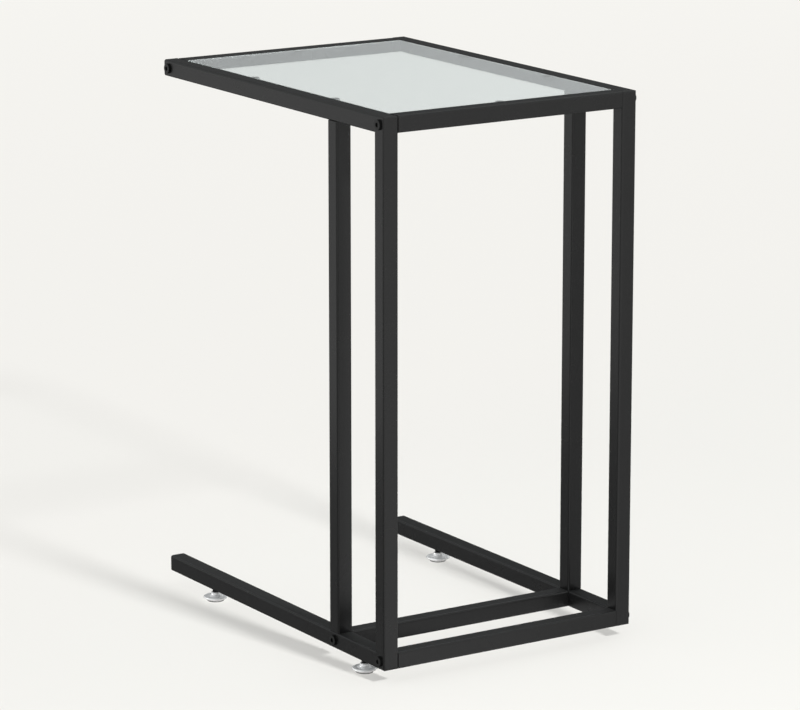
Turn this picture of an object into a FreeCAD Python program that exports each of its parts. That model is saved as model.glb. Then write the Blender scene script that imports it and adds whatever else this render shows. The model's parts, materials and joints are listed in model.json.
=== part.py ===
import FreeCAD, Part
import Sketcher
import math
import os

# C shaped side table: two welded side frames of square steel tube, four crossbars screwed between them,
# a glass top lying on clear bumpers inside the top frame, and four levelling feet.
# X runs across the table, the posts stand at the -Y end and the C opens towards +Y. Z is up.
# The origin is on the floor, under the middle of the table.

drivingSizes = {
    "tableWidth": 350,
    "tableLength": 500,
    "frameHeight": 650,
    "floorGap": 16.5,
    "tubeSide": 20,
    "tubeWall": 1.2,
    "tubeCorner": 2.5,
    "innerPostSetback": 100,
    "endPlateThickness": 1.5,
    "endPlateChamfer": 0.5,
    "glassThickness": 5,
    "glassPlay": 0.5,
    "glassDrop": 0.5,
    "glassCorner": 2,
    "glassArris": 0.6,
    "bumperRadius": 5.5,
    "bumperThickness": 2,
    "bumperRounding": 0.5,
    "tabWidth": 12,
    "tabReach": 12.5,
    "tabThickness": 2,
    "railTabFront": 146,
    "railTabRear": 327,
    "screwRadius": 2.95,
    "screwPlay": 0.3,
    "screwLength": 28,
    "screwTip": 0.6,
    "headRadius": 6.1,
    "headHeight": 2.8,
    "headRounding": 0.4,
    "socketWidth": 5,
    "socketDepth": 1.9,
    "threadPlateThickness": 5,
    "threadPlateRecess": 1,
    "threadPlatePlay": 0.1,
    "threadPlay": 0.05,
    "footSetbackFront": 58,
    "footSetbackRear": 94.5,
    "insertFlangeRadius": 6.5,
    "insertFlangeThickness": 0.8,
    "insertRadius": 5.5,
    "insertLength": 12,
    "insertPlay": 0.1,
    "studRadius": 3.92,
    "studTop": 28.5,
    "studChamfer": 0.8,
    "runningPlay": 0.07,
    "shoulderGap": 0.2,
    "ballRadius": 3.2,
    "ballHeight": 6,
    "soleRadius": 10.4,
    "soleHeight": 1.1,
    "footBaseRadius": 11,
    "footRimRadius": 16.8,
    "footRimHeight": 5,
    "footRimRounding": 1.3,
    "footCrestRadius": 12.4,
    "footCrestHeight": 6.1,
    "footCrestRounding": 8,
    "footValleyRadius": 9,
    "footValleyHeight": 5.75,
    "footValleyRounding": 1.5,
    "footRootHeight": 7.6,
    "footRootRounding": 1.6,
    "footBossRadius": 5.8,
    "footBossRounding": 1,
    "footHeight": 10.7,
}

diagonal = math.sqrt(0.5)
cutOver = 1
sides = {"left": -1, "right": 1}

document = FreeCAD.newDocument("SideTable")
sheet = document.addObject("Spreadsheet::Sheet", "Sizes")
for row, (alias, number) in enumerate(drivingSizes.items(), start=1):
    sheet.set(f"A{row}", alias)
    sheet.set(f"B{row}", str(number))
    sheet.setAlias(f"B{row}", alias)
document.recompute()


class Size:
    # A length with its present value and the expression that ties it to the sheet.
    def __init__(self, value, text):
        self.value = float(value)
        self.text = text

    def joined(self, sign, other, value):
        return Size(value, f"({self.text} {sign} {other.text})")

    def __add__(self, other):
        other = asSize(other)
        return self.joined("+", other, self.value + other.value)

    def __sub__(self, other):
        other = asSize(other)
        return self.joined("-", other, self.value - other.value)

    def __mul__(self, other):
        other = asSize(other)
        return self.joined("*", other, self.value * other.value)

    def __truediv__(self, other):
        other = asSize(other)
        return self.joined("/", other, self.value / other.value)

    def __neg__(self):
        return self * -1


def asSize(length):
    if isinstance(length, Size):
        return length
    return Size(length, str(length))


def size(alias):
    return Size(drivingSizes[alias], f"Sizes.{alias}")


tubeSide = size("tubeSide")
tubeHalf = tubeSide / 2
tubeWall = size("tubeWall")
tubeCorner = size("tubeCorner")
tableLength = size("tableLength")
frameHeight = size("frameHeight")
floorGap = size("floorGap")
frontFace = -tableLength / 2
railCentre = size("tableWidth") / 2 - tubeHalf
crossbarLength = size("tableWidth") - tubeSide * 2
innerPostCentre = size("innerPostSetback") + tubeHalf
lowerLevel = floorGap + tubeHalf
upperLevel = floorGap + frameHeight - tubeHalf
glassTop = floorGap + frameHeight - size("glassDrop")
glassBottom = glassTop - size("glassThickness")
bumperBottom = glassBottom - size("bumperThickness")
tabBottom = bumperBottom - size("tabThickness")
footPlaces = {
    "front": size("footSetbackFront"),
    "rear": tableLength - size("footSetbackRear"),
}


# Drawing helpers

def newBody(name):
    body = document.addObject("PartDesign::Body", name)
    body.Label = name
    return body


def newSketch(body, role, name, lift=None):
    sketch = body.newObject("Sketcher::SketchObject", f"{body.Name}_{name}")
    plane = [item for item in body.Origin.OriginFeatures if item.Role == role][0]
    sketch.AttachmentSupport = [(plane, "")]
    sketch.MapMode = "FlatFace"
    if lift is not None:
        sketch.setExpression("AttachmentOffset.Base.z", lift.text)
    return sketch


def pin(sketch, geometry, end, x, y):
    for kind, axis, distance in (("DistanceX", -2, x), ("DistanceY", -1, y)):
        if distance.text == "0":
            sketch.addConstraint(Sketcher.Constraint("PointOnObject", geometry, end, axis))
        else:
            rule = Sketcher.Constraint(kind, -1, 1, geometry, end, distance.value)
            index = sketch.addConstraint(rule)
            sketch.setExpression(f"Constraints[{index}]", distance.text)


def arcThrough(start, end, radius, hollow):
    # The shorter arc from start to end, with its centre on the side where the hollow point lies.
    halfChord = (end - start) / 2
    middle = start + halfChord
    across = FreeCAD.Vector(-halfChord.y, halfChord.x, 0).normalize()
    if across.dot(hollow - middle) < 0:
        across = -across
    centre = middle + across * math.sqrt(radius ** 2 - halfChord.Length ** 2)
    turnsLeft = (start - centre).cross(end - centre).z > 0
    first, last = (start, end) if turnsLeft else (end, start)
    angles = [math.atan2(point.y - centre.y, point.x - centre.x) for point in (first, last)]
    if angles[1] < angles[0]:
        angles[1] += 2 * math.pi
    circle = Part.Circle(centre, FreeCAD.Vector(0, 0, 1), radius)
    return Part.ArcOfCircle(circle, angles[0], angles[1]), turnsLeft


def drawOutline(sketch, points, arcs=None):
    # Closes the points into one outline. arcs gives, for a point's number, the radius of the arc that
    # leaves it and a place on the arc's hollow side.
    points = [(asSize(x), asSize(y)) for x, y in points]
    arcs = arcs or {}
    places = [FreeCAD.Vector(x.value, y.value, 0) for x, y in points]
    joints = []
    for number, start in enumerate(places):
        end = places[(number + 1) % len(places)]
        if number in arcs:
            radius, hollow = arcs[number]
            hollowPlace = FreeCAD.Vector(asSize(hollow[0]).value, asSize(hollow[1]).value, 0)
            curve, turnsLeft = arcThrough(start, end, radius.value, hollowPlace)
            geometry = sketch.addGeometry(curve)
            rule = sketch.addConstraint(Sketcher.Constraint("Radius", geometry, radius.value))
            sketch.setExpression(f"Constraints[{rule}]", radius.text)
            joints.append((geometry, 1, 2) if turnsLeft else (geometry, 2, 1))
        else:
            geometry = sketch.addGeometry(Part.LineSegment(start, end))
            joints.append((geometry, 1, 2))
    for number, (geometry, start, end) in enumerate(joints):
        previous = joints[number - 1]
        sketch.addConstraint(Sketcher.Constraint("Coincident", previous[0], previous[2], geometry, start))
        pin(sketch, geometry, start, *points[number])


def drawCircle(sketch, x, y, radius):
    x, y = asSize(x), asSize(y)
    centre = FreeCAD.Vector(x.value, y.value, 0)
    geometry = sketch.addGeometry(Part.Circle(centre, FreeCAD.Vector(0, 0, 1), radius.value))
    pin(sketch, geometry, 3, x, y)
    rule = sketch.addConstraint(Sketcher.Constraint("Radius", geometry, radius.value))
    sketch.setExpression(f"Constraints[{rule}]", radius.text)


def drawRoundedRectangle(sketch, width, height, corner, centreY=0):
    points = []
    arcs = {}
    for turnX, turnY in ((1, 1), (-1, 1), (-1, -1), (1, -1)):
        edgeX = width / 2 * turnX
        edgeY = height / 2 * turnY + centreY
        insideX = edgeX - corner * turnX
        insideY = edgeY - corner * turnY
        pair = [(edgeX, insideY), (insideX, edgeY)]
        if turnX != turnY:
            pair.reverse()
        arcs[len(points)] = (corner, (insideX, insideY))
        points.extend(pair)
    drawOutline(sketch, points, arcs)


def drawTubeSection(sketch, centreY=0):
    drawRoundedRectangle(sketch, tubeSide, tubeSide, tubeCorner, centreY)
    inside = tubeSide - tubeWall * 2
    drawRoundedRectangle(sketch, inside, inside, tubeCorner - tubeWall, centreY)


# Feature helpers

def pad(body, sketch, length, sideType="One side", backwards=False):
    feature = body.newObject("PartDesign::Pad", f"{sketch.Name}_pad")
    feature.Profile = sketch
    feature.SideType = sideType
    feature.Reversed = backwards
    feature.setExpression("Length", length.text)
    document.recompute()


def pocket(body, sketch, length=None):
    # Without a length it goes through the whole body, both ways from the sketch.
    before = body.Shape.Volume
    feature = body.newObject("PartDesign::Pocket", f"{sketch.Name}_pocket")
    feature.Profile = sketch
    if length is None:
        feature.Type = "ThroughAll"
        feature.SideType = "Symmetric"
    else:
        feature.setExpression("Length", length.text)
    document.recompute()
    if body.Shape.Volume >= before:
        raise RuntimeError(f"{feature.Name} cuts nothing")


def revolve(body, sketch):
    feature = body.newObject("PartDesign::Revolution", f"{sketch.Name}_revolution")
    feature.Profile = sketch
    feature.ReferenceAxis = (sketch, ["V_Axis"])
    feature.Angle = 360
    document.recompute()


def edgesInPlane(body, axis, place):
    names = []
    for number, edge in enumerate(body.Shape.Edges, start=1):
        spread = [getattr(vertex.Point, axis) for vertex in edge.Vertexes]
        if all(abs(value - place.value) < 0.001 for value in spread):
            names.append(f"Edge{number}")
    return names


def ringEdges(body, radius, height):
    names = []
    for number, edge in enumerate(body.Shape.Edges, start=1):
        if edge.Degenerated or not isinstance(edge.Curve, Part.Circle):
            continue
        sameRadius = abs(edge.Curve.Radius - radius.value) < 0.001
        sameHeight = abs(edge.Curve.Center.z - height.value) < 0.001
        if sameRadius and sameHeight:
            names.append(f"Edge{number}")
    return names


def soften(body, kind, property, edges, amount):
    shaped = body.Tip
    feature = body.newObject(f"PartDesign::{kind}", f"{body.Name}_{kind}_{len(body.Group)}")
    feature.Base = (shaped, edges)
    feature.setExpression(property, amount.text)
    document.recompute()


def place(body, x, y, z, turn=None):
    if turn is not None:
        body.Placement.Rotation = turn
    for axis, distance in zip("xyz", (x, y, z)):
        body.setExpression(f".Placement.Base.{axis}", asSize(distance).text)


# Steel frame

def mitreCut(toSketch):
    # Everything beyond the mitre of a tube that leaves a corner. Distances are measured from the
    # frame's outer corner, the first along the tube and the second across it. The corner is rounded.
    arcEnd = tubeCorner * (1 - diagonal)
    corners = [
        (tubeSide, tubeSide),
        (arcEnd, arcEnd),
        (tubeCorner, asSize(0)),
        (tubeCorner, asSize(-cutOver)),
        (asSize(-cutOver), asSize(-cutOver)),
        (asSize(-cutOver), tubeSide + cutOver),
        (tubeSide, tubeSide + cutOver),
    ]
    points = [toSketch(along, across) for along, across in corners]
    return points, {1: (tubeCorner, toSketch(tubeCorner, tubeCorner))}


def screwHoles(body, places):
    sketch = newSketch(body, "YZ_Plane", "screw_holes")
    for along, height in places:
        drawCircle(sketch, along, height, size("screwRadius") + size("screwPlay"))
    pocket(body, sketch)


def buildRail(sideName, levelName):
    sign = sides[sideName]
    isTop = levelName == "top"
    up = 1 if isTop else -1
    body = newBody(f"{sideName}_{levelName}_rail")
    section = newSketch(body, "XZ_Plane", "section")
    drawTubeSection(section)
    pad(body, section, tableLength - size("endPlateThickness"), backwards=True)

    mitre = newSketch(body, "YZ_Plane", "mitre")
    drawOutline(mitre, *mitreCut(lambda along, across: (along, (tubeHalf - across) * up)))
    pocket(body, mitre)

    rearScrew = tableLength - tubeHalf if isTop else innerPostCentre
    screwHoles(body, [(tubeHalf, 0), (rearScrew, 0)])
    if not isTop:
        inserts = newSketch(body, "XY_Plane", "insert_holes")
        for distance in footPlaces.values():
            drawCircle(inserts, 0, distance, size("insertRadius") + size("insertPlay"))
        pocket(body, inserts, tubeHalf + cutOver)
    place(body, railCentre * sign, frontFace, upperLevel if isTop else lowerLevel)
    return body


def buildFrontPost(sideName):
    body = newBody(f"{sideName}_front_post")
    section = newSketch(body, "XY_Plane", "section")
    drawTubeSection(section, tubeHalf)
    pad(body, section, frameHeight)

    mitres = newSketch(body, "YZ_Plane", "mitres")
    drawOutline(mitres, *mitreCut(lambda along, across: (across, along)))
    drawOutline(mitres, *mitreCut(lambda along, across: (across, frameHeight - along)))
    pocket(body, mitres)
    screwHoles(body, [(tubeHalf, tubeHalf), (tubeHalf, frameHeight - tubeHalf)])
    place(body, railCentre * sides[sideName], frontFace, floorGap)
    return body


def buildInnerPost(sideName):
    body = newBody(f"{sideName}_inner_post")
    section = newSketch(body, "XY_Plane", "section")
    drawTubeSection(section)
    pad(body, section, frameHeight - tubeSide * 2)
    place(body, railCentre * sides[sideName], frontFace + innerPostCentre, floorGap + tubeSide)
    return body


def buildEndPlate(sideName, levelName):
    body = newBody(f"{sideName}_{levelName}_rail_end_plate")
    outline = newSketch(body, "XZ_Plane", "outline")
    drawRoundedRectangle(outline, tubeSide, tubeSide, tubeCorner)
    thickness = size("endPlateThickness")
    pad(body, outline, thickness, backwards=True)
    soften(body, "Chamfer", "Size", edgesInPlane(body, "y", thickness), size("endPlateChamfer"))
    height = upperLevel if levelName == "top" else lowerLevel
    place(body, railCentre * sides[sideName], tableLength / 2 - thickness, height)
    return body


def buildCrossbar(name, along, height):
    body = newBody(f"{name}_crossbar")
    section = newSketch(body, "YZ_Plane", "section")
    drawTubeSection(section)
    pad(body, section, crossbarLength, sideType="Symmetric")
    place(body, 0, along, height)
    return body


def buildThreadPlate(name, sideName, along, height):
    # Welded just inside the crossbar's end, with the thread that the screw pulls on.
    sign = sides[sideName]
    thickness = size("threadPlateThickness")
    body = newBody(f"{name}_{sideName}_thread_plate")
    outline = newSketch(body, "YZ_Plane", "outline")
    width = tubeSide - (tubeWall + size("threadPlatePlay")) * 2
    drawRoundedRectangle(outline, width, width, tubeCorner - tubeWall)
    drawCircle(outline, 0, 0, size("screwRadius") + size("threadPlay"))
    pad(body, outline, thickness, sideType="Symmetric")
    inward = crossbarLength / 2 - size("threadPlateRecess") - thickness / 2
    place(body, inward * sign, along, height)
    return body


def buildScrew(name, sideName, along, height):
    # Low cylinder head screw. Its own Z leaves the head, and z = 0 is the face that bears on the rail.
    sign = sides[sideName]
    body = newBody(f"{name}_{sideName}_screw")
    shank = size("screwRadius")
    tip = size("screwTip")
    end = -size("screwLength")
    head = size("headRadius")
    top = size("headHeight")
    profile = newSketch(body, "XZ_Plane", "profile")
    points = [
        (0, end),
        (shank - tip, end),
        (shank, end + tip),
        (shank, 0),
        (head, 0),
        (head, top),
        (0, top),
    ]
    drawOutline(profile, points)
    revolve(body, profile)
    soften(body, "Fillet", "Radius", ringEdges(body, head, top), size("headRounding"))

    socket = newSketch(body, "XY_Plane", "socket", lift=top)
    corner = size("socketWidth") / math.sqrt(3)
    turns = [math.radians(60 * number) for number in range(6)]
    hexagon = [(corner * round(math.cos(turn), 6), corner * round(math.sin(turn), 6)) for turn in turns]
    drawOutline(socket, hexagon)
    pocket(body, socket, size("socketDepth"))
    outwards = FreeCAD.Rotation(FreeCAD.Vector(0, 1, 0), 90 * sign)
    place(body, size("tableWidth") / 2 * sign, along, height, outwards)
    return body


# Glass top and what it lies on

def buildGlass():
    body = newBody("glass_top")
    outline = newSketch(body, "XY_Plane", "outline")
    width = crossbarLength - size("glassPlay") * 2
    length = tableLength - (tubeSide + size("glassPlay")) * 2
    drawRoundedRectangle(outline, width, length, size("glassCorner"))
    thickness = size("glassThickness")
    pad(body, outline, thickness)
    rims = edgesInPlane(body, "z", asSize(0)) + edgesInPlane(body, "z", thickness)
    soften(body, "Chamfer", "Size", rims, size("glassArris"))
    place(body, 0, 0, glassBottom)
    return body


def buildTab(name, x, y, heading):
    # A small steel tongue with a round end. Its own X leaves the tube that it is welded to.
    body = newBody(f"{name}_tab")
    outline = newSketch(body, "XY_Plane", "outline")
    half = size("tabWidth") / 2
    straight = size("tabReach") - half
    points = [(0, -half), (straight, -half), (straight + half, 0), (straight, half), (0, half)]
    drawOutline(outline, points, {1: (half, (straight, 0)), 2: (half, (straight, 0))})
    pad(body, outline, size("tabThickness"))
    place(body, x, y, tabBottom, FreeCAD.Rotation(FreeCAD.Vector(0, 0, 1), heading))
    return body


def buildBumper(name, x, y):
    body = newBody(f"{name}_bumper")
    radius = size("bumperRadius")
    thickness = size("bumperThickness")
    outline = newSketch(body, "XY_Plane", "outline")
    drawCircle(outline, 0, 0, radius)
    pad(body, outline, thickness)
    soften(body, "Fillet", "Radius", ringEdges(body, radius, thickness), size("bumperRounding"))
    place(body, x, y, bumperBottom)
    return body


def buildGlassSupports():
    # Two tabs on each long rail and one in the middle of each upper crossbar, each with its bumper.
    wallX = crossbarLength / 2
    wallY = tableLength / 2 - tubeSide
    inset = size("tabReach") - size("tabWidth") / 2
    pieces = []
    for sideName, sign in sides.items():
        heading = 0 if sign < 0 else 180
        for endName, distance in (("front", size("railTabFront")), ("rear", size("railTabRear"))):
            name = f"{sideName}_{endName}_glass"
            along = frontFace + distance
            pieces.append(buildTab(name, wallX * sign, along, heading))
            pieces.append(buildBumper(name, (wallX - inset) * sign, along))
    for endName, sign, heading in (("front", -1, 90), ("rear", 1, -90)):
        name = f"{endName}_middle_glass"
        pieces.append(buildTab(name, 0, wallY * sign, heading))
        pieces.append(buildBumper(name, 0, (wallY - inset) * sign))
    return pieces


# Levelling feet

def buildInsert(name, x, y):
    # Threaded insert riveted into the rail's lower wall. z = 0 is the rail's underside.
    body = newBody(f"{name}_foot_insert")
    bore = size("studRadius") + size("runningPlay")
    flange = size("insertFlangeRadius")
    underside = -size("insertFlangeThickness")
    radius = size("insertRadius")
    length = size("insertLength")
    profile = newSketch(body, "XZ_Plane", "profile")
    points = [(bore, underside), (flange, underside), (flange, 0), (radius, 0), (radius, length), (bore, length)]
    drawOutline(profile, points)
    revolve(body, profile)
    place(body, x, y, floorGap)
    return body


def buildStud(name, x, y):
    # The screw of the foot, with a ball end that turns in the moulded base. z = 0 is the floor.
    body = newBody(f"{name}_foot_stud")
    ball = size("ballRadius")
    centre = size("ballHeight")
    neck = ball * diagonal
    shoulder = size("footHeight") + size("shoulderGap")
    radius = size("studRadius")
    top = size("studTop")
    chamfer = size("studChamfer")
    profile = newSketch(body, "XZ_Plane", "profile")
    points = [
        (0, centre - ball),
        (neck, centre + neck),
        (neck, shoulder),
        (radius, shoulder),
        (radius, top - chamfer),
        (radius - chamfer, top),
        (0, top),
    ]
    drawOutline(profile, points, {0: (ball, (0, centre))})
    revolve(body, profile)
    place(body, x, y, 0)
    return body


def buildFoot(name, x, y):
    # Pale moulded base: a narrow sole, an undercut cone, a rolled rim and a valley that rises to a boss.
    body = newBody(f"{name}_foot_base")
    socket = size("ballRadius") + size("runningPlay")
    mouth = socket * diagonal
    centre = size("ballHeight")
    boss = size("footBossRadius")
    top = size("footHeight")
    sole = size("soleRadius")
    soleHeight = size("soleHeight")
    rim = (size("footRimRadius"), size("footRimHeight"))
    crest = (size("footCrestRadius"), size("footCrestHeight"))
    valley = (size("footValleyRadius"), size("footValleyHeight"))
    root = (boss, size("footRootHeight"))
    profile = newSketch(body, "XZ_Plane", "profile")
    points = [
        (0, 0),
        (sole, 0),
        (sole, soleHeight),
        (size("footBaseRadius"), soleHeight),
        rim,
        crest,
        valley,
        root,
        (boss, top),
        (mouth, top),
        (mouth, centre + mouth),
        (0, centre - socket),
    ]
    drawOutline(profile, points, {10: (socket, (0, centre))})
    revolve(body, profile)
    soften(body, "Fillet", "Radius", ringEdges(body, *root), size("footRootRounding"))
    soften(body, "Fillet", "Radius", ringEdges(body, *rim), size("footRimRounding"))
    soften(body, "Fillet", "Radius", ringEdges(body, *crest), size("footCrestRounding"))
    soften(body, "Fillet", "Radius", ringEdges(body, *valley), size("footValleyRounding"))
    soften(body, "Fillet", "Radius", ringEdges(body, boss, top), size("footBossRounding"))
    place(body, x, y, 0)
    return body


def buildTable():
    pieces = []
    for sideName in sides:
        for levelName in ("top", "bottom"):
            pieces.append(buildRail(sideName, levelName))
            pieces.append(buildEndPlate(sideName, levelName))
        pieces.append(buildFrontPost(sideName))
        pieces.append(buildInnerPost(sideName))

    crossbarPlaces = {
        "top_front": (frontFace + tubeHalf, upperLevel),
        "top_rear": (tableLength / 2 - tubeHalf, upperLevel),
        "bottom_front": (frontFace + tubeHalf, lowerLevel),
        "bottom_inner": (frontFace + innerPostCentre, lowerLevel),
    }
    for name, (along, height) in crossbarPlaces.items():
        pieces.append(buildCrossbar(name, along, height))
        for sideName in sides:
            pieces.append(buildThreadPlate(name, sideName, along, height))
            pieces.append(buildScrew(name, sideName, along, height))

    pieces.append(buildGlass())
    pieces.extend(buildGlassSupports())
    for sideName, sign in sides.items():
        for endName, distance in footPlaces.items():
            name = f"{sideName}_{endName}"
            for buildPiece in (buildInsert, buildStud, buildFoot):
                pieces.append(buildPiece(name, railCentre * sign, frontFace + distance))
    return pieces


def checkDocument(pieces):
    for item in document.Objects:
        if "Invalid" in item.State or "Error" in item.State:
            raise RuntimeError(f"{item.Name} failed: {item.State}")
    for piece in pieces:
        if piece.Shape.isNull() or not piece.Shape.isValid():
            raise RuntimeError(f"{piece.Label} has no valid shape")
        if len(piece.Shape.Solids) != 1:
            raise RuntimeError(f"{piece.Label} has {len(piece.Shape.Solids)} solids")


pieces = buildTable()
document.recompute()
checkDocument(pieces)
os.makedirs("parts", exist_ok=True)
for piece in pieces:
    piece.Shape.exportStep(f"parts/{piece.Label}.step")
print(len(pieces), "pieces written")
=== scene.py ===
import bpy
import json
import math
import mathutils
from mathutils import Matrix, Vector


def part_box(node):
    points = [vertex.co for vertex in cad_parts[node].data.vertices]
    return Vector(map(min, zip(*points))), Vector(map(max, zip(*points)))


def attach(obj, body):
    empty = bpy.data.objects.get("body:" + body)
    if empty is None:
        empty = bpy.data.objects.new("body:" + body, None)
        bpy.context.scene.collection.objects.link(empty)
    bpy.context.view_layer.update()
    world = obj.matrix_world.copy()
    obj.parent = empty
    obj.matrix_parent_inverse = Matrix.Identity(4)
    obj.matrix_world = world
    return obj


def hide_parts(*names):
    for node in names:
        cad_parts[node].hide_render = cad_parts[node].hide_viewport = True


# Side table with a C shaped frame of square tube. Sizes are in metres, the front posts stand at -Y.

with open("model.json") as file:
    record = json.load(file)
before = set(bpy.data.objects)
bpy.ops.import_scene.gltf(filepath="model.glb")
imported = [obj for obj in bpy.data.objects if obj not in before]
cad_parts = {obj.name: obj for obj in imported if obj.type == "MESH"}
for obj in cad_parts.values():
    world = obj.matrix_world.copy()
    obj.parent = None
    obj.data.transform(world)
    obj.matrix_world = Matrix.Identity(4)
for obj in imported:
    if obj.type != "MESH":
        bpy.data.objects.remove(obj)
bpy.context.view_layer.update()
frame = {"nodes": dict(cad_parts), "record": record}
print("table frame loaded:", len(frame["nodes"]), "pieces")


# threaded foot studs

studShape = {
    "pitch": 0.00125,
    "crestRadius": 0.0039,
    "rootRadius": 0.00318,
    "crestFlat": 0.00018,
    "rootFlat": 0.00032,
    "turns": 16,
    "stepsPerTurn": 28,
    "threadStart": 0.0109,
    "ballRadius": 0.0032,
    "ballHeight": 0.006,
    "ballSides": 40,
    "ballRings": 24,
    "neckRadius": 0.002263,
    "neckTop": 0.0122,  # the neck runs a little way into the threaded part
    "smoothAngle": 35,
}

samePlace = 1e-6  # corners nearer than this become one
onTheCut = 1e-8  # and corners nearer than this to a cut lie on it
startSize = 0.001  # of the plane that is drawn together into the thread's first corner
corners = ("left_front", "left_rear", "right_front", "right_rear")


def startFrom(addPrimitive, **sizes):
    # The new primitive is left in edit mode, selected all over.
    bpy.ops.object.select_all(action="DESELECT")
    addPrimitive(**sizes)
    piece = bpy.context.object
    bpy.ops.object.transform_apply(location=True, rotation=True, scale=True)
    bpy.ops.object.mode_set(mode="EDIT")
    bpy.ops.mesh.select_all(action="SELECT")
    return piece


def cutAt(height, **options):
    bpy.ops.mesh.select_all(action="SELECT")
    bpy.ops.mesh.bisect(plane_co=(0, 0, height), plane_no=(0, 0, 1), threshold=onTheCut, **options)


def turnFacesOut():
    bpy.ops.mesh.select_all(action="SELECT")
    bpy.ops.mesh.normals_make_consistent(inside=False)
    bpy.ops.object.mode_set(mode="OBJECT")


def makeThread(top):
    # One tooth of the thread is drawn as a line and screwed up around the stud's axis.
    pitch = studShape["pitch"]
    root = studShape["rootRadius"]
    depth = studShape["crestRadius"] - root
    flank = (pitch - studShape["crestFlat"] - studShape["rootFlat"]) / 2
    thread = startFrom(bpy.ops.mesh.primitive_plane_add, size=startSize)
    bpy.ops.mesh.merge(type="CENTER")
    bpy.ops.transform.translate(value=(root, 0, studShape["threadStart"] - pitch))
    tooth = (
        (0, studShape["rootFlat"]),
        (depth, flank),
        (0, studShape["crestFlat"]),
        (-depth, flank),
    )
    for outward, upward in tooth:
        bpy.ops.mesh.extrude_verts_indiv()
        bpy.ops.transform.translate(value=(outward, 0, upward))
    bpy.ops.object.mode_set(mode="OBJECT")
    screw = thread.modifiers.new("thread", "SCREW")
    screw.axis = "Z"
    screw.angle = math.tau
    screw.screw_offset = pitch
    screw.iterations = studShape["turns"]
    screw.steps = screw.render_steps = studShape["stepsPerTurn"]
    bpy.ops.object.modifier_apply(modifier="thread")
    bpy.ops.object.mode_set(mode="EDIT")
    bpy.ops.mesh.select_all(action="SELECT")
    bpy.ops.mesh.remove_doubles(threshold=samePlace)
    cutAt(studShape["threadStart"], use_fill=True, clear_inner=True)
    cutAt(top, use_fill=True, clear_outer=True)
    turnFacesOut()
    return thread


def makeBallEnd():
    # A ball, cut level where the neck grows out of it.
    ball = startFrom(
        bpy.ops.mesh.primitive_uv_sphere_add,
        segments=studShape["ballSides"],
        ring_count=studShape["ballRings"],
        radius=studShape["ballRadius"],
        location=(0, 0, studShape["ballHeight"]),
    )
    neckStart = studShape["ballHeight"] + studShape["neckRadius"]
    cutAt(neckStart, clear_outer=True)
    bpy.ops.mesh.extrude_edges_indiv()
    bpy.ops.transform.translate(value=(0, 0, studShape["neckTop"] - neckStart))
    bpy.ops.mesh.edge_face_add()
    turnFacesOut()
    return ball


def makeStuds():
    # The thread and the ball end are made once, joined, and copied to each foot.
    thread = makeThread(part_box("left_front_foot_stud")[1].z)
    ball = makeBallEnd()
    thread.select_set(True)
    ball.select_set(True)
    bpy.context.view_layer.objects.active = thread
    bpy.ops.object.join()
    bpy.ops.object.shade_smooth_by_angle(angle=math.radians(studShape["smoothAngle"]))
    studs = []
    for corner in corners:
        bpy.ops.object.select_all(action="DESELECT")
        thread.select_set(True)
        bpy.context.view_layer.objects.active = thread
        bpy.ops.object.duplicate(linked=False)
        stud = bpy.context.object
        stud.name = corner + "_threaded_stud"
        low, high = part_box(corner + "_foot_stud")
        middle = (low + high) / 2
        bpy.ops.transform.translate(value=(middle.x, middle.y, 0))
        bpy.ops.object.transform_apply(location=True, rotation=False, scale=False)
        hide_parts(corner + "_foot_stud")
        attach(stud, corner + "_stud")
        studs.append(stud)
    bpy.data.objects.remove(thread)
    return studs


studs = makeStuds()
print("threaded studs are made:", len(studs))


# steps that the materials share

noiseMiddle = (0.3, 0.7)  # most of a noise lies between these


def newMaterial(name):
    material = bpy.data.materials.new(name)
    material.use_nodes = True
    tree = material.node_tree
    return material, tree, tree.nodes["Principled BSDF"]


def feed(tree, source, socket):
    # The source is another node's output, or a plain number, colour or direction.
    if isinstance(source, bpy.types.NodeSocket):
        tree.links.new(source, socket)
    elif socket.type == "RGBA":
        socket.default_value = (*source, 1)
    else:
        socket.default_value = source


def objectPlace(tree):
    return tree.nodes.new("ShaderNodeTexCoord").outputs["Object"]


def objectNormal(tree):
    return tree.nodes.new("ShaderNodeTexCoord").outputs["Normal"]


def pick(tree, source, axis):
    split = tree.nodes.new("ShaderNodeSeparateXYZ")
    tree.links.new(source, split.inputs["Vector"])
    return split.outputs[axis]


def calculate(tree, operation, *sources):
    step = tree.nodes.new("ShaderNodeMath")
    step.operation = operation
    for source, socket in zip(sources, step.inputs):
        feed(tree, source, socket)
    return step.outputs["Value"]


def calculateVector(tree, operation, *sources):
    step = tree.nodes.new("ShaderNodeVectorMath")
    step.operation = operation
    for source, socket in zip(sources, step.inputs):
        feed(tree, source, socket)
    return step


def span(tree, source, reach, values, smooth=False):
    # Where the source goes from one end of reach to the other, the result goes over values.
    stretch = tree.nodes.new("ShaderNodeMapRange")
    if smooth:
        stretch.interpolation_type = "SMOOTHSTEP"
    stretch.inputs["From Min"].default_value, stretch.inputs["From Max"].default_value = reach
    stretch.inputs["To Min"].default_value, stretch.inputs["To Max"].default_value = values
    tree.links.new(source, stretch.inputs["Value"])
    return stretch.outputs["Result"]


def blend(tree, share, first, second, kind="RGBA"):
    mix = tree.nodes.new("ShaderNodeMix")
    mix.data_type = kind
    feed(tree, share, mix.inputs["Factor"])
    feed(tree, first, mix.inputs["A"])
    feed(tree, second, mix.inputs["B"])
    return mix.outputs["Result"]


def noise(tree, place, scale, detail):
    texture = tree.nodes.new("ShaderNodeTexNoise")
    texture.inputs["Scale"].default_value = scale
    texture.inputs["Detail"].default_value = detail
    tree.links.new(place, texture.inputs["Vector"])
    return texture.outputs["Fac"]


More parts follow.
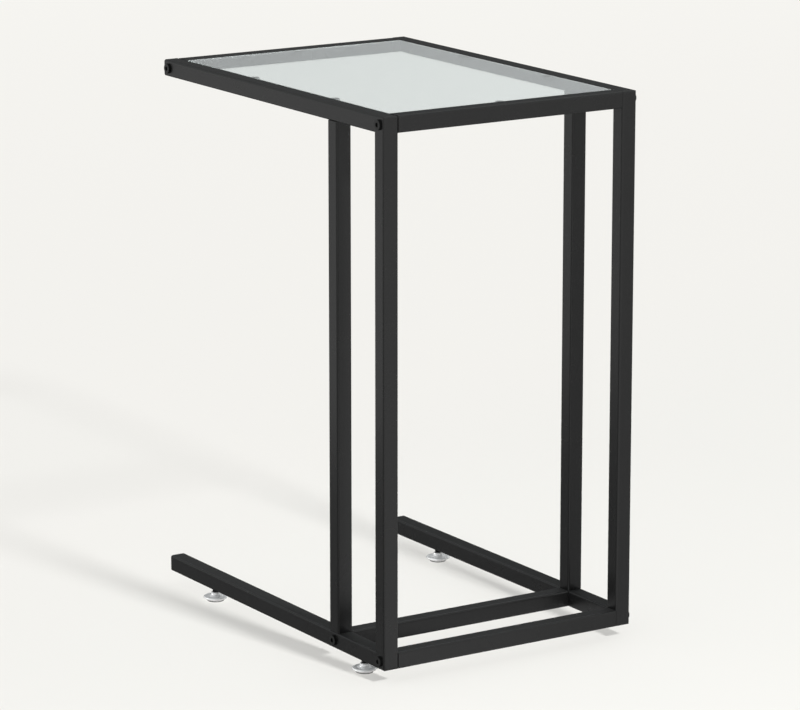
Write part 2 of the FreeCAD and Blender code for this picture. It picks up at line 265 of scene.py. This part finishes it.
def addGrain(tree, shader, place, settings):
    # The finest unevenness of a surface, as bump.
    grain = noise(tree, place, settings["grainScale"], settings["grainDetail"])
    bump = tree.nodes.new("ShaderNodeBump")
    bump.inputs["Strength"].default_value = 1
    bump.inputs["Distance"].default_value = settings["grainDepth"]
    tree.links.new(grain, bump.inputs["Height"])
    tree.links.new(bump.outputs["Normal"], shader.inputs["Normal"])


# camera, floor and light

cameraSettings = {
    "place": (-2.54534, -3.97954, 1.42186),
    "pitch": 76.895,
    "heading": -32.678,
    "lens": 179.75,
    "sensor": 36,
}


def makeCamera():
    data = bpy.data.cameras.new("tableCamera")
    data.sensor_fit = "HORIZONTAL"
    data.sensor_width = cameraSettings["sensor"]
    data.lens = cameraSettings["lens"]
    camera = bpy.data.objects.new("tableCamera", data)
    camera.location = cameraSettings["place"]
    camera.rotation_euler.x = math.radians(cameraSettings["pitch"])
    camera.rotation_euler.z = math.radians(cameraSettings["heading"])
    bpy.context.scene.collection.objects.link(camera)
    bpy.context.scene.camera = camera


floorSettings = {
    "size": 80,
    "colour": (0.30, 0.2975, 0.2865),
    "roughness": 0.9,
    "glowTone": (1.0, 0.985, 0.948),
    "glowReach": (0.9, 6.0),  # distance from the table
    "glow": (0.449, 0.655),  # the floor's own light at those distances
    "fadeAlong": (-0.5, 1.0, 0.0),  # shadows fade to the rear and the left
    "fadeReach": (0.195, 0.62),  # how far along
    "fade": (0.0, 0.61),  # the share that is gone there
    "fadedColour": (0, 0, 0),
    "fadedGlow": 0.907,
}


def makeFloor():
    bpy.ops.mesh.primitive_plane_add(size=floorSettings["size"])
    floor = bpy.context.object
    floor.name = "studioFloor"
    material, tree, shader = newMaterial("paleFloor")
    place = objectPlace(tree)
    distance = calculateVector(tree, "LENGTH", place).outputs["Value"]
    glow = span(tree, distance, floorSettings["glowReach"], floorSettings["glow"])
    # Towards the rear the floor answers the lamps less and glows more, so shadows thin out there.
    along = calculateVector(tree, "DOT_PRODUCT", place, floorSettings["fadeAlong"]).outputs["Value"]
    fade = span(tree, along, floorSettings["fadeReach"], floorSettings["fade"])
    colour = blend(tree, fade, floorSettings["colour"], floorSettings["fadedColour"])
    glow = blend(tree, fade, glow, floorSettings["fadedGlow"], "FLOAT")
    tree.links.new(colour, shader.inputs["Base Color"])
    tree.links.new(glow, shader.inputs["Emission Strength"])
    shader.inputs["Emission Color"].default_value = (*floorSettings["glowTone"], 1)
    shader.inputs["Roughness"].default_value = floorSettings["roughness"]
    shader.inputs["Specular IOR Level"].default_value = 0
    floor.data.materials.append(material)
    return floor


skySettings = {
    "bands": (  # height, grey
        (0.0, 0.38),
        (0.26, 0.36),
        (0.5, 0.38),
        (0.75, 0.42),
        (0.9, 0.5),
        (1.0, 0.52),
    ),
    "sideGlow": 0.9,
    "tone": (0.97, 1.0, 1.0),
}


def makeSky():
    world = bpy.data.worlds.new("softStudio")
    world.use_nodes = True
    tree = world.node_tree
    place = tree.nodes.new("ShaderNodeTexCoord").outputs["Generated"]
    bands = tree.nodes.new("ShaderNodeValToRGB")
    steps = bands.color_ramp.elements
    while len(steps) < len(skySettings["bands"]):
        steps.new(0.5)  # each gets its own place below
    for step, (height, grey) in zip(steps, skySettings["bands"]):
        step.position = height
        step.color = (grey, grey, grey, 1)
    tree.links.new(pick(tree, place, "Z"), bands.inputs["Fac"])
    # The sky is brighter to the left and right, like two wide soft boxes.
    across = pick(tree, place, "X")
    sides = calculate(tree, "MULTIPLY", across, across)
    total = calculate(tree, "MULTIPLY_ADD", sides, skySettings["sideGlow"], bands.outputs["Color"])
    tone = calculateVector(tree, "MULTIPLY", total, skySettings["tone"]).outputs["Vector"]
    tree.links.new(tone, tree.nodes["Background"].inputs["Color"])
    bpy.context.scene.world = world


# The key is two lamps in one place, one for the table and one for the floor.
keySettings = {
    "place": (0.17, -2.95, 2.52),
    "aim": (0, 0, 0.3),
    "size": 0.35,
    "tablePower": 5.6,
    "floorPower": 14.6,
    "noFloorShadow": ("bottom", "foot"),  # words in the names of pieces near the floor
}

# A low soft lamp on the left picks out the feet, which the rails shade from above.
lowSettings = {
    "place": (-2.4, 1.1, 0.42),
    "aim": (0, 0, 0),
    "size": 0.6,
    "power": 4.0,
    "shinesOn": ("foot_base",),
}


def makeLamp(name, settings, power):
    light = bpy.data.lights.new(name, "AREA")
    light.shape = "DISK"
    light.size = settings["size"]
    light.energy = power
    light.use_nodes = True
    tree = light.node_tree
    even = tree.nodes.new("ShaderNodeLightFalloff")  # as bright far from the lamp as near it
    even.inputs["Strength"].default_value = 1
    tree.links.new(even.outputs["Constant"], tree.nodes["Emission"].inputs["Strength"])
    lamp = bpy.data.objects.new(name, light)
    lamp.location = settings["place"]
    away = mathutils.Vector(settings["aim"]) - mathutils.Vector(settings["place"])
    lamp.rotation_euler = away.to_track_quat("-Z", "Y").to_euler()
    bpy.context.scene.collection.objects.link(lamp)
    return lamp


def piecesNamed(words):
    return [node for name, node in frame["nodes"].items() if any(word in name for word in words)]


def group(name, members, state):
    chosen = bpy.data.collections.new(name)
    for member in members:
        chosen.objects.link(member)
    for entry in chosen.collection_objects:
        entry.light_linking.link_state = state
    return chosen


def makeLamps(floor):
    tableLamp = makeLamp("tableKey", keySettings, keySettings["tablePower"])
    tableLamp.light_linking.receiver_collection = group("notTheFloor", [floor], "EXCLUDE")
    floorLamp = makeLamp("floorKey", keySettings, keySettings["floorPower"])
    floorLamp.light_linking.receiver_collection = group("theFloor", [floor], "INCLUDE")
    low = studs + piecesNamed(keySettings["noFloorShadow"])
    floorLamp.light_linking.blocker_collection = group("lowPieces", low, "EXCLUDE")
    lowLamp = makeLamp("lowFill", lowSettings, lowSettings["power"])
    feet = piecesNamed(lowSettings["shinesOn"])
    lowLamp.light_linking.receiver_collection = group("theFeet", feet, "INCLUDE")


# Mats on the floor, square to the camera, that show only in the gloss of the table.
frontMat = {
    "across": (-6, 6),
    "along": (-8, -0.15),
    "lift": 0.0005,
    "axis": "X",
    "glowReach": (-0.3, 0.1),
    "glow": (0.87, 0.52),
}

rearMat = {
    "across": (-6, 6),
    "along": (-0.15, 12),
    "lift": 0.0005,
    "axis": "Y",
    "glowReach": (0.8, 1.2),
    "glow": (0.23, 0.62),
}


def makeMat(name, settings):
    bpy.ops.mesh.primitive_plane_add(size=1, location=(0, 0, 0))
    mat = bpy.context.object
    mat.name = name
    (left, right), (front, rear) = settings["across"], settings["along"]
    for corner in mat.data.vertices:
        corner.co.x = left if corner.co.x < 0 else right
        corner.co.y = front if corner.co.y < 0 else rear
        corner.co.z = settings["lift"]
    mat.rotation_euler.z = math.radians(-cameraSettings["heading"])
    material, tree, shader = newMaterial(name)
    place = pick(tree, objectPlace(tree), settings["axis"])
    glow = span(tree, place, settings["glowReach"], settings["glow"], smooth=True)
    tree.links.new(glow, shader.inputs["Emission Strength"])
    shader.inputs["Emission Color"].default_value = (1, 1, 1, 1)
    shader.inputs["Base Color"].default_value = (0, 0, 0, 1)
    shader.inputs["Specular IOR Level"].default_value = 0
    mat.data.materials.append(material)
    mat.visible_camera = False
    mat.visible_diffuse = False
    mat.visible_transmission = False
    mat.visible_shadow = False


bpy.context.scene.view_settings.view_transform = "Standard"
makeCamera()
floor = makeFloor()
makeSky()
makeLamps(floor)
makeMat("frontMat", frontMat)
makeMat("rearMat", rearMat)
print("camera, floor and light are set")


# finishes

powderSettings = {
    "dark": (0.008, 0.008, 0.008),
    "light": (0.011, 0.011, 0.011),
    "cloudScale": 14,
    "cloudDetail": 3,
    "turnReach": (0.5, 0.75),  # how far a face is turned away, where its gloss goes
    "turnRoughness": (0.25, 0.95),
    "unevenRoughness": 0.04,
    "specular": 0.375,
    "grainScale": 900,
    "grainDetail": 2,
    "grainDepth": 0.00004,
}


def makePowderCoat():
    # Satin black, glossy face on and dull at a slant, with fine orange peel.
    coat, tree, shader = newMaterial("satinBlackPowderCoat")
    place = objectPlace(tree)
    cloud = noise(tree, place, powderSettings["cloudScale"], powderSettings["cloudDetail"])
    colour = blend(tree, cloud, powderSettings["dark"], powderSettings["light"])
    tree.links.new(colour, shader.inputs["Base Color"])
    turned = tree.nodes.new("ShaderNodeLayerWeight").outputs["Facing"]
    rough = span(tree, turned, powderSettings["turnReach"], powderSettings["turnRoughness"])
    rough = calculate(tree, "MULTIPLY_ADD", cloud, powderSettings["unevenRoughness"], rough)
    tree.links.new(rough, shader.inputs["Roughness"])
    shader.inputs["Specular IOR Level"].default_value = powderSettings["specular"]
    addGrain(tree, shader, place, powderSettings)
    return coat


def letLampsThrough(material, tint):
    # A clear piece throws a pale shadow, as the real one does.
    tree = material.node_tree
    rays = tree.nodes.new("ShaderNodeLightPath")
    clear = tree.nodes.new("ShaderNodeBsdfTransparent")
    clear.inputs["Color"].default_value = (*tint, 1)
    swap = tree.nodes.new("ShaderNodeMixShader")
    tree.links.new(rays.outputs["Is Shadow Ray"], swap.inputs["Fac"])
    tree.links.new(tree.nodes["Principled BSDF"].outputs["BSDF"], swap.inputs[1])
    tree.links.new(clear.outputs["BSDF"], swap.inputs[2])
    tree.links.new(swap.outputs["Shader"], tree.nodes["Material Output"].inputs["Surface"])


glassSettings = {
    "tint": (0.935, 1.0, 0.998),
    "groundTint": (0.86, 0.93, 0.92),
    "groundReach": (0.97, 0.9),  # how upright the surface stands, from face to ground edge
    "groundRoughness": 0.9,
    "smearScale": 6,
    "smearDetail": 4,
    "smearReach": (0.5, 0.8),
    "smearRoughness": (0, 0.012),
    "ior": 1.52,
    "lampTint": (0.93, 0.94, 0.935),
}


def makeGlass():
    # Clear float glass with a ground edge and a trace of handling on its faces.
    glass, tree, shader = newMaterial("clearFloatGlass")
    upright = calculate(tree, "ABSOLUTE", pick(tree, objectNormal(tree), "Z"))
    ground = span(tree, upright, glassSettings["groundReach"], (0, 1))
    colour = blend(tree, ground, glassSettings["tint"], glassSettings["groundTint"])
    tree.links.new(colour, shader.inputs["Base Color"])
    place = objectPlace(tree)
    smear = noise(tree, place, glassSettings["smearScale"], glassSettings["smearDetail"])
    film = span(tree, smear, glassSettings["smearReach"], glassSettings["smearRoughness"])
    rough = calculate(tree, "MULTIPLY_ADD", ground, glassSettings["groundRoughness"], film)
    tree.links.new(rough, shader.inputs["Roughness"])
    shader.inputs["IOR"].default_value = glassSettings["ior"]
    shader.inputs["Transmission Weight"].default_value = 1
    letLampsThrough(glass, glassSettings["lampTint"])
    return glass


siliconeSettings = {
    "clear": (0.90, 0.92, 0.93),
    "cloudy": (0.80, 0.83, 0.84),
    "cloudScale": 220,
    "cloudDetail": 2,
    "roughness": (0.12, 0.22),
    "ior": 1.41,
    "lampTint": (0.8, 0.82, 0.82),
    "grainScale": 1500,
    "grainDetail": 1,
    "grainDepth": 0.00002,
}


def makeSilicone():
    silicone, tree, shader = newMaterial("clearSilicone")
    place = objectPlace(tree)
    cloud = noise(tree, place, siliconeSettings["cloudScale"], siliconeSettings["cloudDetail"])
    colour = blend(tree, cloud, siliconeSettings["clear"], siliconeSettings["cloudy"])
    tree.links.new(colour, shader.inputs["Base Color"])
    rough = span(tree, cloud, noiseMiddle, siliconeSettings["roughness"])
    tree.links.new(rough, shader.inputs["Roughness"])
    shader.inputs["IOR"].default_value = siliconeSettings["ior"]
    shader.inputs["Transmission Weight"].default_value = 1
    addGrain(tree, shader, place, siliconeSettings)
    letLampsThrough(silicone, siliconeSettings["lampTint"])
    return silicone


screwSettings = {
    "dark": (0.016, 0.016, 0.016),
    "worn": (0.024, 0.024, 0.024),
    "wearScale": 400,
    "wearDetail": 3,
    "roughness": (0.38, 0.52),
    "faceReach": (0.35, 0.8),  # how squarely the surface looks left or right
    # painted shade: near black for the head's side wall and socket
    "side": (0.001, 0.001, 0.001),
    "sideRoughness": 1,
    "specular": 0.2,
    "grainScale": 2200,
    "grainDetail": 1,
    "grainDepth": 0.00001,
}


def makeScrewBlack():
    # The head's flat face is satin black like the coat; its side and socket are painted near black
    # and fully rough, painted shade for the shaded side wall of the head and the hollow of the
    # socket.
    screw, tree, shader = newMaterial("blackScrew")
    place = objectPlace(tree)
    sideways = calculate(tree, "ABSOLUTE", pick(tree, objectNormal(tree), "X"))
    flat = span(tree, sideways, screwSettings["faceReach"], (0, 1))
    wear = noise(tree, place, screwSettings["wearScale"], screwSettings["wearDetail"])
    face = blend(tree, wear, screwSettings["dark"], screwSettings["worn"])
    # painted shade: the side wall and socket get the near-black colour, the flat face keeps the
    # satin black
    colour = blend(tree, flat, screwSettings["side"], face)
    tree.links.new(colour, shader.inputs["Base Color"])
    faceRough = span(tree, wear, noiseMiddle, screwSettings["roughness"])
    rough = blend(tree, flat, screwSettings["sideRoughness"], faceRough, "FLOAT")
    tree.links.new(rough, shader.inputs["Roughness"])
    shader.inputs["Specular IOR Level"].default_value = screwSettings["specular"]
    addGrain(tree, shader, place, screwSettings)
    return screw


footSettings = {
    "pale": (0.86, 0.86, 0.865),
    "cloudy": (0.82, 0.82, 0.825),
    "flowScale": 160,
    "flowDetail": 3,
    "roughness": (0.2, 0.3),
    "soleReach": (0.001, 0.0011),  # height, from the near-black lowest ring to the pale plastic
    "sole": (0.012, 0.012, 0.012),
    "soleRoughness": 0.7,
    "coatRoughness": 0.12,
    "coatIor": 1.5,
    "grainScale": 1400,
    "grainDetail": 2,
    "grainDepth": 0.000004,
}


def makeFootPlastic():
    # Pale moulded plastic. The lowest millimetre, where the foot stands on the floor, is near
    # black.
    plastic, tree, shader = newMaterial("paleMouldedPlastic")
    place = objectPlace(tree)
    aboveLowestRing = span(tree, pick(tree, place, "Z"), footSettings["soleReach"], (0, 1))
    flow = noise(tree, place, footSettings["flowScale"], footSettings["flowDetail"])
    base = blend(tree, flow, footSettings["cloudy"], footSettings["pale"])
    # the lowest millimetre of the foot is near black and rougher
    colour = blend(tree, aboveLowestRing, footSettings["sole"], base)
    tree.links.new(colour, shader.inputs["Base Color"])
    baseRough = span(tree, flow, noiseMiddle, footSettings["roughness"])
    rough = blend(tree, aboveLowestRing, footSettings["soleRoughness"], baseRough, "FLOAT")
    tree.links.new(rough, shader.inputs["Roughness"])
    shader.inputs["Coat Weight"].default_value = 1
    shader.inputs["Coat Roughness"].default_value = footSettings["coatRoughness"]
    shader.inputs["Coat IOR"].default_value = footSettings["coatIor"]
    addGrain(tree, shader, place, footSettings)
    return plastic


studSettings = {
    "dark": (0.012, 0.012, 0.012),
    "worn": (0.03, 0.03, 0.03),
    "wearScale": 500,
    "wearDetail": 4,
    "roughness": (0.3, 0.45),
    "specular": 0.3,
    "grainScale": 1800,
    "grainDetail": 2,
    "grainDepth": 0.000008,
}


def makeStudBlack():
    stud, tree, shader = newMaterial("blackenedStud")
    place = objectPlace(tree)
    wear = noise(tree, place, studSettings["wearScale"], studSettings["wearDetail"])
    colour = blend(tree, wear, studSettings["dark"], studSettings["worn"])
    tree.links.new(colour, shader.inputs["Base Color"])
    rough = span(tree, wear, noiseMiddle, studSettings["roughness"])
    tree.links.new(rough, shader.inputs["Roughness"])
    shader.inputs["Specular IOR Level"].default_value = studSettings["specular"]
    addGrain(tree, shader, place, studSettings)
    return stud


zincSettings = {
    "pale": (0.60, 0.60, 0.57),
    "yellow": (0.50, 0.49, 0.44),
    "spangleScale": 260,
    "spangleReach": (0, 0.6),
    "roughness": (0.28, 0.5),
    "grainScale": 1100,
    "grainDetail": 2,
    "grainDepth": 0.00001,
}


def makeZinc():
    zinc, tree, shader = newMaterial("zincPlate")
    place = objectPlace(tree)
    texture = tree.nodes.new("ShaderNodeTexVoronoi")
    texture.inputs["Scale"].default_value = zincSettings["spangleScale"]
    tree.links.new(place, texture.inputs["Vector"])
    spangle = texture.outputs["Distance"]
    colour = blend(tree, spangle, zincSettings["pale"], zincSettings["yellow"])
    tree.links.new(colour, shader.inputs["Base Color"])
    rough = span(tree, spangle, zincSettings["spangleReach"], zincSettings["roughness"])
    tree.links.new(rough, shader.inputs["Roughness"])
    shader.inputs["Metallic"].default_value = 1
    addGrain(tree, shader, place, zincSettings)
    return zinc


finishes = {
    "powder_coated_steel": makePowderCoat(),
    "clear_glass": makeGlass(),
    "clear_silicone": makeSilicone(),
    "black_screw": makeScrewBlack(),
    "clear_plastic": makeFootPlastic(),
    "black_steel": makeStudBlack(),
    "plated_steel": makeZinc(),
}


def putOn(piece, finish):
    piece.data.materials.clear()
    piece.data.materials.append(finishes[finish])


for part in frame["record"]["subparts"]:
    putOn(frame["nodes"][part["node"]], part["material_slot"])
for stud in studs:
    putOn(stud, "black_steel")
print("finishes are on")
